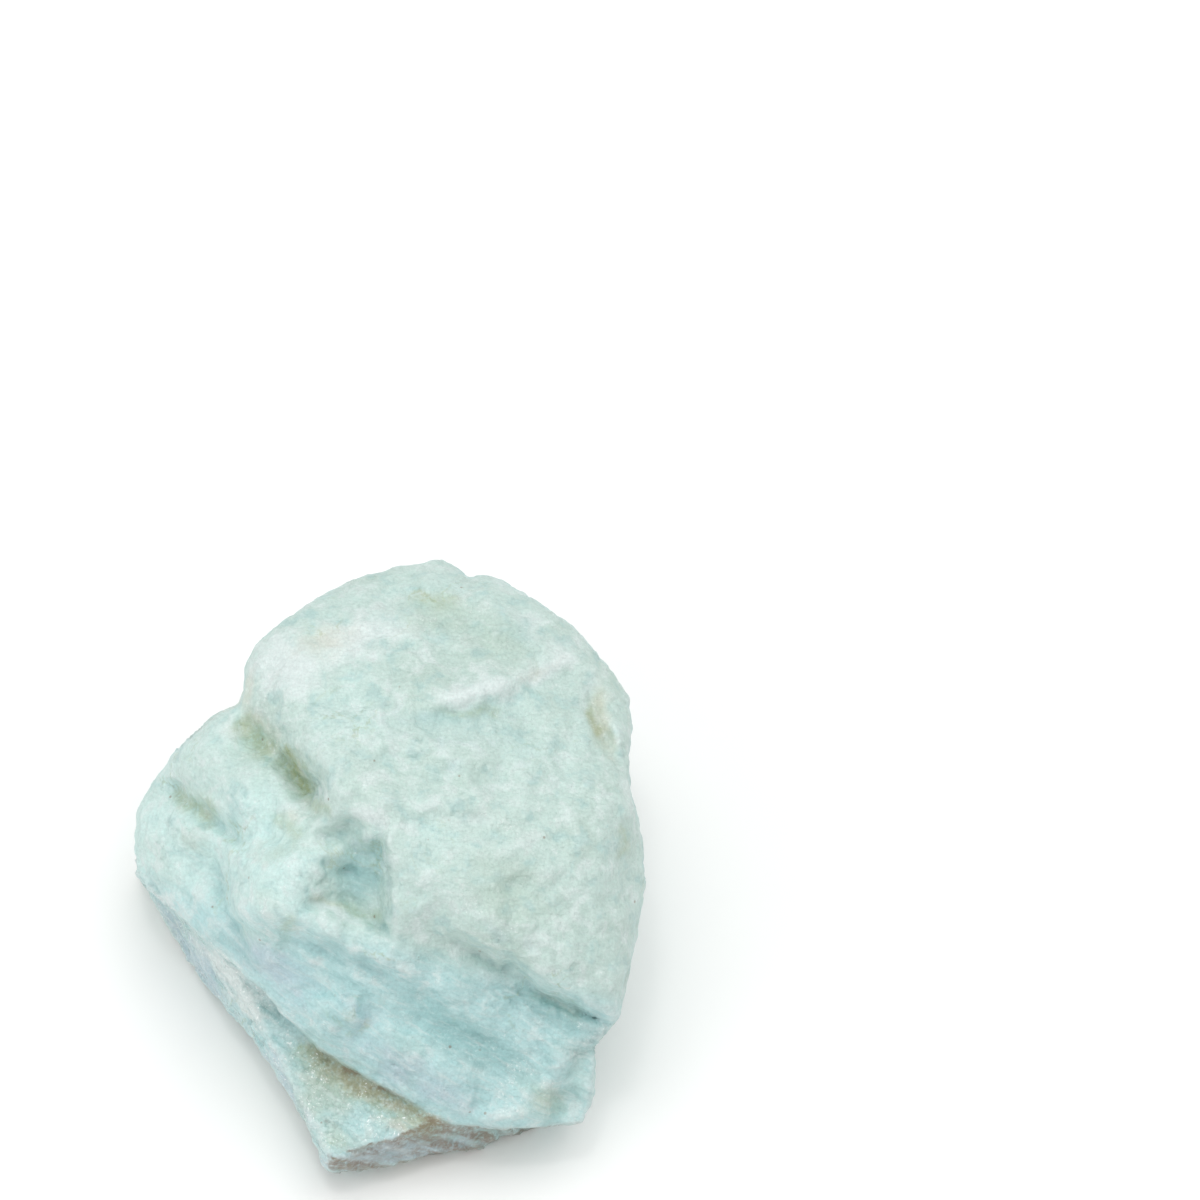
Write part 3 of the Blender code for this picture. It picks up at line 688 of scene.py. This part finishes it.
def fine_relief(points, normals, settings):
    """Height added along the normal, in millimetres: streaks, cleavage steps, chips and breaks."""
    place = points.T
    x, u, t = place
    world = in_world(points)
    side = 1.0 - faces_out(normals, t)

    # Streaks and fibres run down to the right, drawn out along their length
    lower = lower_face(x, u) * ramp(t, 8.0, 16.0)
    streaks = fractal((x * 0.84 - u * 0.54) / 3.2, (x * 0.54 + u * 0.84) / 0.8, t / 2.4, 61, 3)
    fibres = noise((x * 0.96 - u * 0.28) / 2.4, (x * 0.28 + u * 0.96) / 0.7, t / 1.2, 63)

    # Cleavage steps climb across the lamellae and come and go; the shelf has its own
    climb = world @ BODY_LAMELLAE / 2.2 + 1.6 * clouds(place, 5.0, 64, 3)
    steps = (saw(climb, 0.12) - 0.5) * ramp(clouds(place, 4.2, 65, 2), 0.1, 0.7)
    shelf_climb = world @ SHELF_LAMELLAE / 1.7 + 0.6 * clouds(place, 4.0, 66, 2)
    shelf_steps = (saw(shelf_climb, 0.2) - 0.5) * (1.0 - ramp(t + 0.4 * u, 8.0, 12.0))

    # Chips and sugary grain everywhere, and larger hackly breaks on the faces turned away
    chips = chip_clouds(place, 1.35, 301) + 0.5 * chip_clouds(place, 0.72, 321)
    sugar = clouds(place, 1.1, 68, 2)
    hackly = chip_clouds(place, 6.2, 341, 20.0) + 0.4 * chip_clouds(place, 2.6, 361, 16.0)
    hackly = hackly * side * (0.25 + 0.75 * ramp(-normals[:, 2], 0.0, 0.5))

    height = settings.streak_height * lower * streaks
    height = height + settings.step_height * (steps * (1.0 + 0.3 * side) + 0.8 * shelf_steps)
    height = height + settings.break_height * hackly
    height = height + settings.grain_height * (chips + 0.15 * fibres + 0.3 * sugar)
    return height / MM


def linear(hex_colour):
    """Linear red, green and blue of an sRGB hex colour."""
    parts = [int(hex_colour[i:i + 2], 16) / 255.0 for i in (1, 3, 5)]
    return [p / 12.92 if p <= 0.04045 else ((p + 0.055) / 1.055) ** 2.4 for p in parts]


def colour(hex_colour, name, description):
    """A colour property with a default given as sRGB hex."""
    return FloatVectorProperty(
        name=name, description=description, subtype="COLOR", size=3, min=0.0, max=1.0,
        default=linear(hex_colour))


def length_mm(size_mm, name, description, least=0.0):
    """A length property with its default and least value given in millimetres."""
    return FloatProperty(
        name=name, description=description, default=size_mm * MM, min=least * MM, unit="LENGTH",
        precision=5)


class StoneSettings(bpy.types.PropertyGroup):
    """Fineness, relief and colours of the stone."""

    grid_step: length_mm(0.285, "Grid step", "Spacing of the surface's points", least=0.2)
    step_height: length_mm(0.28, "Cleavage steps", "Height of the small steps left by cleavage")
    break_height: length_mm(0.55, "Breaks", "Height of the hackly breaks of the sides and the back")
    streak_height: length_mm(0.12, "Streaks", "Height of the streaks on the lower face")
    grain_height: length_mm(0.16, "Grain", "Height of the small chips and the sugary grain")
    mint: colour("#BFD5CE", "Mint", "Pale blue-green of most of the stone")
    aqua: colour("#C9E4E0", "Aqua", "Clearer blue-green of the lobes and the lower face")
    cream: colour("#D7E3E1", "Cream", "Whitish weathered patches")
    # Teal is also laid on as painted shade in hollows, in the recess and in shaded grooves and walls
    teal: colour("#94BEBE", "Teal", "Strongest blue-green, in hollows and on fresh breaks")
    green: colour("#B2C8BC", "Green", "Yellowish-green patches")
    blue: colour("#AED4D6", "Blue-green", "Even tint of the streaked lower face")
    tan: colour("#CDCAB6", "Tan", "Warm tint of weathered edges")
    lilac: colour("#B0C6D0", "Blue-grey", "Cool streaked faces")
    # Olive and brown also lay a band of painted shade, with dirt, where the shelf runs in under the block
    olive: colour("#97A26C", "Olive stain", "Stain in the grooves")
    rust: colour("#7F6852", "Brown stain", "Brown dirt and streaks of the shelf's front")
    # A painted glint: some grains are laid over with near-white
    flash: colour("#F7FCFA", "Flash", "Grains that flash white where the stone broke fresh")


class StageSettings(bpy.types.PropertyGroup):
    """Floor, light and camera."""

    floor: colour("#F6F6F5", "Floor", "Colour of the plain floor")
    key_power: FloatProperty(
        name="Key light", description="Power of the large soft light",
        default=3.9, min=0.0, unit="POWER")
    fill_power: FloatProperty(
        name="Fill light", description="Power of the weak light from the left",
        default=1.4, min=0.0, unit="POWER")
    glint_power: FloatProperty(
        name="Glint light", description="Power of the small light that makes the grains sparkle",
        default=0.45, min=0.0, unit="POWER")
    sky_strength: FloatProperty(
        name="Sky", description="Strength of the even white light from all round",
        default=0.64, min=0.0)
    lens: FloatProperty(
        name="Lens", description="Focal length of the camera in millimetres",
        default=300.0, min=50.0)
    frame_width: FloatProperty(
        name="Frame width", description="Width of what the camera sees at the stone",
        default=102.0 * MM, min=0.01, unit="LENGTH")


def add(tree, kind, inputs, output=0, **settings):
    """Adds a node with its settings and gives one output; each input is a value or another output."""
    made = tree.nodes.new("ShaderNode" + kind)
    for name, value in settings.items():
        setattr(made, name, value)
    for socket, value in inputs.items():
        if isinstance(value, bpy.types.NodeSocket):
            tree.links.new(value, made.inputs[socket])
        else:
            made.inputs[socket].default_value = value
    return made.outputs[output]


def rgba(value):
    """A colour with full alpha."""
    return (*value, 1.0)


def sheets(node, place, normal, across_mm, along_mm):
    """Noise drawn out into thin sheets square to the normal, as exsolved lamellae are."""
    helper = unit(np.cross(normal, (0.3, 0.2, 0.9)))
    third = np.cross(normal, helper)
    parts = {}
    for axis, direction in enumerate((normal / across_mm, helper / along_mm, third / along_mm)):
        parts[axis] = node("VectorMath", {0: place, 1: tuple(direction)}, "Value", operation="DOT_PRODUCT")
    drawn = node("CombineXYZ", parts)
    return node("TexNoise", {
        "Vector": drawn, "Scale": 1.0, "Detail": 3.0, "Roughness": 0.6, "Distortion": 0.3}, "Fac")


def broken_amazonite(settings):
    """Amazonite, a blue-green microcline feldspar, broken and weathered.

    It is slightly see-into. Shade is painted into its hollows as a deeper blue-green, and light onto
    its ridges as a paler, milky tint. Pale sheets of albite run through it as fine white streaks, and
    its cleavage faces are glassier than its uneven breaks.
    """
    material = bpy.data.materials.new("amazonite_broken_feldspar")
    material.use_nodes = True
    tree = material.node_tree
    node = partial(add, tree)
    local = node("TexCoord", {}, "Object")
    place = node("VectorMath", {0: local, "Scale": 1.0 / MM}, operation="SCALE")

    # What the mesh keeps for each point, and the noise that breaks it up
    kept = {name: node("Attribute", {}, "Fac", attribute_name=name) for name in (*ZONES, *KEPT_VALUES)}
    noises = {}
    for name, (size, detail, distortion, roughness) in STONE_NOISES.items():
        noises[name] = node("TexNoise", {
            "Vector": place, "Scale": 1.0 / size, "Detail": detail, "Roughness": roughness,
            "Distortion": distortion}, "Fac")

    # Albite lamellae 0.2 to 0.6 mm thick, on the streaked lower face and through the body
    face_sheets = sheets(node, place, FACE_LAMELLAE, 0.45, 3.0)
    body_sheets = sheets(node, place, BODY_LAMELLAE, 0.45, 3.5)

    # Grains, each a small cleavage face; each has a colour by chance, which gives its tilt too
    grains = node("TexVoronoi", {"Vector": place, "Scale": 1.0 / GRAIN_SIZE}, feature="F1").node.outputs
    chance = node("SeparateColor", {0: grains["Color"]})

    # Hairline cracks run where the crack noise passes through its middle
    off_crack = node("Math", {0: noises["crack"], 1: 0.5}, operation="SUBTRACT")
    off_crack = node("Math", {0: off_crack}, operation="ABSOLUTE")

    # A zone's edge is broken up by the milky noise
    uneven = node("Math", {0: noises["milky"], 1: 0.9, 2: -0.45}, operation="MULTIPLY_ADD")
    ragged_zone = {}
    for name in ZONE_SHARES:
        ragged_zone[name] = node("Math", {0: kept[name], 1: 1.35, 2: uneven}, operation="MULTIPLY_ADD")

    # Masks: what each reads, where it starts, where it is full, and its strength there
    masks = {}
    for name, source, start, full, strength in (
        ("clear cloud", kept["broad"], 0.5, 0.72, 0.5),
        ("green cloud", kept["broad"], 0.5, 0.3, 0.4),
        ("milky patch", noises["milky"], 0.5, 0.68, 0.6),
        ("teal patch", noises["milky"], 0.47, 0.32, 0.36),
        *((name, ragged_zone[name], 0.22, 1.1, share) for name, share in ZONE_SHARES.items()),
        # Painted shade: the hollows are laid over with teal
        ("painted hollow shade", kept["hollow"], 0.02, 0.6, 0.45),
        # Painted light: the ridges are laid over with a paler cream
        ("painted ridge light", kept["ridge"], 0.03, 0.4, 0.5),
        ("pale sheet", face_sheets, 0.5, 0.7, 0.4),
        ("dark sheet", face_sheets, 0.46, 0.3, 0.4),
        ("body sheet", body_sheets, 0.5, 0.72, 0.25),
        ("stain", noises["grit"], 0.16, 0.6, 0.8),
        ("crack", off_crack, 0.03, 0.0, 0.4),
        ("cracked ground", kept["broad"], 0.54, 0.68, 1.0),
        ("crack breaks", noises["grit"], 0.36, 0.6, 1.0),
        ("lost grain", chance, 0.994, 0.996, 0.6),
        ("grain middle", grains["Distance"], 0.42, 0.2, 1.0),
        ("flash", noises["flash"], 0.6, 0.72, 1.0),
        ("fresh ground", noises["milky"], 0.42, 0.62, 1.0),
    ):
        masks[name] = node("MapRange", {
            "Value": source, "From Min": start, "From Max": full, "To Max": strength},
            interpolation_type="SMOOTHSTEP")

    # Shares that are the product of several things
    lustre = node("Math", {0: kept["gloss"], 1: 0.7, 2: 0.2}, operation="MULTIPLY_ADD")
    shares = {}
    for name, share, *factors in (
        ("streaked face", kept["streaky"], 0.8),
        ("pale line", masks["pale sheet"], kept["streaky"]),
        ("dark line", masks["dark sheet"], kept["streaky"]),
        ("olive stain", kept["olive"], masks["stain"]),
        ("brown stain", kept["rust"], masks["stain"]),
        ("olive wisp", masks["crack"], masks["cracked ground"], masks["crack breaks"]),
        ("speck", masks["lost grain"], masks["grain middle"]),
        ("flash", masks["flash"], masks["fresh ground"], lustre),
    ):
        for factor in factors:
            share = node("Math", {0: share, 1: factor}, operation="MULTIPLY")
        shares[name] = share
    clear = node("Math", {0: kept["clear"], 1: masks["clear cloud"]}, operation="ADD", use_clamp=True)
    pale = node("Math", {0: shares["pale line"], 1: masks["body sheet"]}, operation="MAXIMUM")

    # Shades laid over the mint in turn: clouds and patches, zones (the teal zone partly painted shade),
    # painted shade in hollows and painted light on ridges, lamellae, stains (with painted shade where the
    # shelf runs in under the block), wisps along cracks, and dark specks where a grain has dropped out
    tint = rgba(settings.mint)
    for share, shade in (
        (clear, "aqua"),
        (shares["streaked face"], "blue"),
        (masks["green cloud"], "green"),
        (masks["milky patch"], "cream"),
        (masks["teal patch"], "teal"),
        *((masks[name], name) for name in ZONE_SHARES),
        (masks["painted hollow shade"], "teal"),
        (masks["painted ridge light"], "cream"),
        (pale, "cream"),
        (shares["dark line"], "teal"),
        (shares["olive stain"], "olive"),
        (shares["brown stain"], "rust"),
        (shares["olive wisp"], "olive"),
        (shares["speck"], "rust"),
    ):
        tint = node("Mix", {0: share, 6: tint, 7: rgba(getattr(settings, shade))}, 2, data_type="RGBA")

    # Sugary grain makes it a little lighter and darker, and a few fresh grains get a painted white glint
    lightness = node("MapRange", {
        "Value": noises["sugar"], "From Min": 0.3, "From Max": 0.7, "To Min": 0.89, "To Max": 1.06})
    tint = node("VectorMath", {0: tint, "Scale": lightness}, operation="SCALE")
    tint = node("Mix", {0: shares["flash"], 6: tint, 7: rgba(settings.flash)}, 2, data_type="RGBA")

    # Uneven breaks are dull and waxy, cleavage faces glassier
    dull = node("MapRange", {
        "Value": noises["milky"], "From Min": 0.3, "From Max": 0.7, "To Min": 0.44, "To Max": 0.64},
        interpolation_type="SMOOTHSTEP")
    rough = node("Math", {0: kept["gloss"], 1: -0.2, 2: dull}, operation="MULTIPLY_ADD")

    # Relief in millimetres: each grain has its own tilt, over finer grit
    off = node("VectorMath", {0: place, 1: grains["Position"]}, operation="SUBTRACT")
    lean = node("VectorMath", {0: grains["Color"], 1: (0.5, 0.5, 0.5)}, operation="SUBTRACT")
    tilted = node("VectorMath", {0: off, 1: lean}, "Value", operation="DOT_PRODUCT")
    tilt = node("Math", {0: kept["gloss"], 1: 0.4, 2: 0.25}, operation="MULTIPLY_ADD")
    height = node("Math", {0: tilted, 1: tilt}, operation="MULTIPLY")
    for name in ("sugar", "grit"):
        height = node("Math", {0: noises[name], 1: 0.05, 2: height}, operation="MULTIPLY_ADD")
    bump = node("Bump", {"Strength": 1.0, "Distance": MM, "Height": height})

    shader = tree.nodes["Principled BSDF"]
    tree.links.new(tint, shader.inputs["Base Color"])
    tree.links.new(rough, shader.inputs["Roughness"])
    tree.links.new(bump, shader.inputs["Normal"])
    shader.inputs["IOR"].default_value = FELDSPAR_IOR

    # Light gets under a millimetre into it, and red light least
    shader.inputs["Subsurface Weight"].default_value = 0.12
    shader.inputs["Subsurface Radius"].default_value = (0.8, 1.0, 0.95)
    shader.inputs["Subsurface Scale"].default_value = 0.8 * MM
    return material


def plain_floor(settings):
    """Matt white paper, as under a product on a light table."""
    material = bpy.data.materials.new("matt_white_paper")
    material.use_nodes = True
    shader = material.node_tree.nodes["Principled BSDF"]
    shader.inputs["Base Color"].default_value = rgba(settings.floor)
    shader.inputs["Roughness"].default_value = 0.85
    return material


def store(mesh, name, values):
    """Keeps a value for each point on the mesh, for the material to read."""
    mesh.attributes.new(name, "FLOAT", "POINT").data.foreach_set("value", values.astype(np.float32))


def store_zones(mesh, points, normals, hollow):
    """Works out where each colour and finish shows, from the face's layout and from noise elsewhere."""
    place = points.T
    x, u, t = place
    wave_x = x + 0.5 * clouds(place, 1.8, 81, 2)
    wave_u = u + 0.5 * clouds(place, 1.8, 91, 2)
    shown = faces_out(normals, t)
    hidden = 1.0 - shown
    for number, name in enumerate(sorted(ZONES)):
        elsewhere = ramp(clouds(place, 6.0, 101 + 7 * number, 4), 0.1, 0.9)
        store(mesh, name, zone_strength(name, wave_x, wave_u) * shown + 0.55 * elsewhere * hidden)

    # Olive stains along the routes, an olive band where the shelf runs in under the block that is partly
    # dirt and partly painted shade, and stains in seams of the hidden sides
    on_shelf = ramp(-outside_rim(SHELF_RIM, x, u), -0.6, 0.1) * ramp(outside_rim(RIM, x, u), -0.2, 0.4)
    off_overhang_line, _, _ = near_route(UNDER_BLOCK_ROUTE, wave_x, wave_u)
    olive = 0.8 * np.exp(-(off_overhang_line / 1.6) ** 2) * on_shelf
    for route, width, strength in STAINS.values():
        distance, _, share = near_route(route, wave_x, wave_u)
        taper = np.clip(8.0 * share * (1.0 - share), 0.0, 1.0)
        olive = np.maximum(olive, strength * taper * np.exp(-(distance / width) ** 2))
    seams = ramp(hollow, 0.25, 0.6) * ramp(noise(x / 3.0, u / 3.0, t / 3.0, 111), 0.1, 0.6)
    store(mesh, "olive", olive * shown + 0.6 * seams * hidden)

    # Brown streaks on the shelf's front break, which faces the world's front, and above it a brown band
    # where the shelf runs in under the block, partly dirt and partly painted shade
    toward_front = -world_parts(*normals.T)[1]
    front = ramp(toward_front, 0.6, 0.8) * on_shelf * ramp(x, -6.5, -5.0)
    streak = ramp(fractal(x / 2.6, (u + 0.22 * x) / 0.5, t / 2.0, 121, 3), -0.7, 0.5)
    shade_and_dirt = (0.04 + 0.46 * np.exp(-(off_overhang_line / 0.9) ** 2)) * on_shelf
    rust = np.maximum(shade_and_dirt, front * (0.3 + 0.9 * streak))
    patches = ramp(noise(x / 4.0, u / 4.0, t / 4.0, 131), 0.45, 0.9)

    left = ramp(-x - 0.25 * u, 5.0, 9.0) * (1.0 - 0.8 * ramp(u, 3.5, 9.0))
    fresh = ramp(noise(x / 3.4, u / 3.4, t / 3.4, 141), 0.3, 0.7)
    for name, values in (
        ("rust", rust + 0.35 * patches * hidden),
        # How far each point lies below and above the ground around it, for the painted shade in hollows and
        # the painted light on ridges
        ("hollow", hollow),
        ("ridge", -hollow),
        ("streaky", lower_face(x, u) * shown + 0.35 * hidden),
        ("clear", 0.9 * left * shown + 0.4 * hidden),
        ("gloss", on_shelf * (1.0 - front) + 0.4 * fresh),
    ):
        store(mesh, name, np.clip(values, 0.0, 1.0))
    store(mesh, "broad", 0.5 + 0.17 * clouds(place, 5.5, 151, 4))


def fitted(world, low, high):
    """World points in metres stretched by a hair so that they fill the solid's box and no more."""
    above = world[world[:, 2] > 0.0]
    mesh_low, mesh_high = above.min(axis=0), above.max(axis=0)
    mesh_low[2] = 0.0
    low, high = np.array(low), np.array(high)
    return low + (world - mesh_low) * (high - low) / (mesh_high - mesh_low)


def cut_flat(mesh):
    """Cuts the mesh off at the floor and closes it with the flat face it rests on."""
    solid = bmesh.new()
    solid.from_mesh(mesh)
    everything = solid.verts[:] + solid.edges[:] + solid.faces[:]
    cut = bmesh.ops.bisect_plane(
        solid, geom=everything, dist=1e-7, plane_co=(0, 0, 0), plane_no=(0, 0, 1), clear_inner=True)
    rim_edges = [e for e in cut["geom_cut"] if isinstance(e, bmesh.types.BMEdge)]
    bmesh.ops.holes_fill(solid, edges=rim_edges, sides=0)
    bmesh.ops.recalc_face_normals(solid, faces=solid.faces[:])
    solid.to_mesh(mesh)
    solid.free()


class AMAZONITE_OT_stone(bpy.types.Operator):
    """Make the stone's fine surface in place of its plain solid"""

    bl_idname = "amazonite.stone"
    bl_label = "Stone"

    def execute(self, context):
        settings = context.scene.amazonite_stone
        step = settings.grid_step / MM
        axes = [np.arange(start, end, step) for start, end in GRID_SPANS]
        points, quads = surface_net(stone_field(axes), axes)
        normals = point_normals(points, quads)
        points = points + normals * fine_relief(points, normals, settings)[:, None]
        normals = point_normals(points, quads)
        low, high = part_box("amazonite_stone")
        mesh = bpy.data.meshes.new("amazonite")
        mesh.from_pydata(fitted(in_world(points) * MM, low, high), [], quads.tolist())
        store_zones(mesh, points, normals, hollowness(points, normals, quads, HOLLOW_ROUNDS))
        cut_flat(mesh)
        mesh.shade_smooth()
        mesh.materials.append(broken_amazonite(settings))
        stone = bpy.data.objects.new("amazonite", mesh)
        context.scene.collection.objects.link(stone)
        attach(stone, "root")
        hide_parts("amazonite_stone")
        return {"FINISHED"}


def soft_light(context, name, place, aim, size, power):
    """A large square light turned to its aim."""
    light = bpy.data.lights.new(name, "AREA")
    light.size = size
    light.energy = power
    lamp = bpy.data.objects.new(name, light)
    context.scene.collection.objects.link(lamp)
    lamp.location = place
    lamp.rotation_euler = (aim - Vector(place)).to_track_quat("-Z", "Y").to_euler()


class AMAZONITE_OT_stage(bpy.types.Operator):
    """Make the pale floor, the soft light and the camera"""

    bl_idname = "amazonite.stage"
    bl_label = "Stage"

    def execute(self, context):
        settings = context.scene.amazonite_stage
        low, high = (Vector(corner) for corner in CAD_BOX)
        middle = (low + high) / 2.0

        bpy.ops.mesh.primitive_plane_add(size=FLOOR_SIZE, location=(0.0, 0.0, 0.0))
        floor = context.object
        floor.name = "floor"
        floor.data.materials.append(plain_floor(settings))

        for name, (place, size) in LIGHTS.items():
            soft_light(context, name, place, middle, size, getattr(settings, name + "_power"))
        world = bpy.data.worlds.new("soft_white")
        world.use_nodes = True
        sky = world.node_tree.nodes["Background"]
        sky.inputs[0].default_value = (1.0, 1.0, 1.0, 1.0)
        sky.inputs[1].default_value = settings.sky_strength
        context.scene.world = world

        across, up, out = Vector(VIEW_X), Vector(VIEW_U), Vector(VIEW_T)
        aim = middle + across * AIM_OFF[0] * MM + up * AIM_OFF[1] * MM
        camera_data = bpy.data.cameras.new("camera")
        camera_data.lens = settings.lens
        camera_data.clip_end = 20.0
        camera = bpy.data.objects.new("camera", camera_data)
        context.scene.collection.objects.link(camera)
        distance = settings.frame_width * settings.lens / camera_data.sensor_width
        camera.location = aim + out * distance
        camera.rotation_euler = (math.pi / 2.0 - FACE_TILT, 0.0, 0.0)
        context.scene.camera = camera
        context.scene.view_settings.view_transform = "Standard"
        return {"FINISHED"}


class AMAZONITE_PT_panel(bpy.types.Panel):
    """The stone's and the stage's settings and buttons"""

    bl_label = "Amazonite"
    bl_idname = "AMAZONITE_PT_panel"
    bl_space_type = "VIEW_3D"
    bl_region_type = "UI"
    bl_category = "Amazonite"

    def draw(self, context):
        for group in ("stone", "stage"):
            box = self.layout.box()
            settings = getattr(context.scene, "amazonite_" + group)
            for name in settings.bl_rna.properties.keys():
                if name not in ("rna_type", "name"):
                    box.prop(settings, name)
            box.operator("amazonite." + group)


CLASSES = (StoneSettings, StageSettings, AMAZONITE_OT_stone, AMAZONITE_OT_stage, AMAZONITE_PT_panel)


def register():
    for cls in CLASSES:
        bpy.utils.register_class(cls)
    bpy.types.Scene.amazonite_stone = PointerProperty(type=StoneSettings)
    bpy.types.Scene.amazonite_stage = PointerProperty(type=StageSettings)


def unregister():
    del bpy.types.Scene.amazonite_stage
    del bpy.types.Scene.amazonite_stone
    for cls in reversed(CLASSES):
        bpy.utils.unregister_class(cls)


def main():
    register()
    bpy.ops.amazonite.stone()
    bpy.ops.amazonite.stage()


if __name__ == "__main__":
    main()
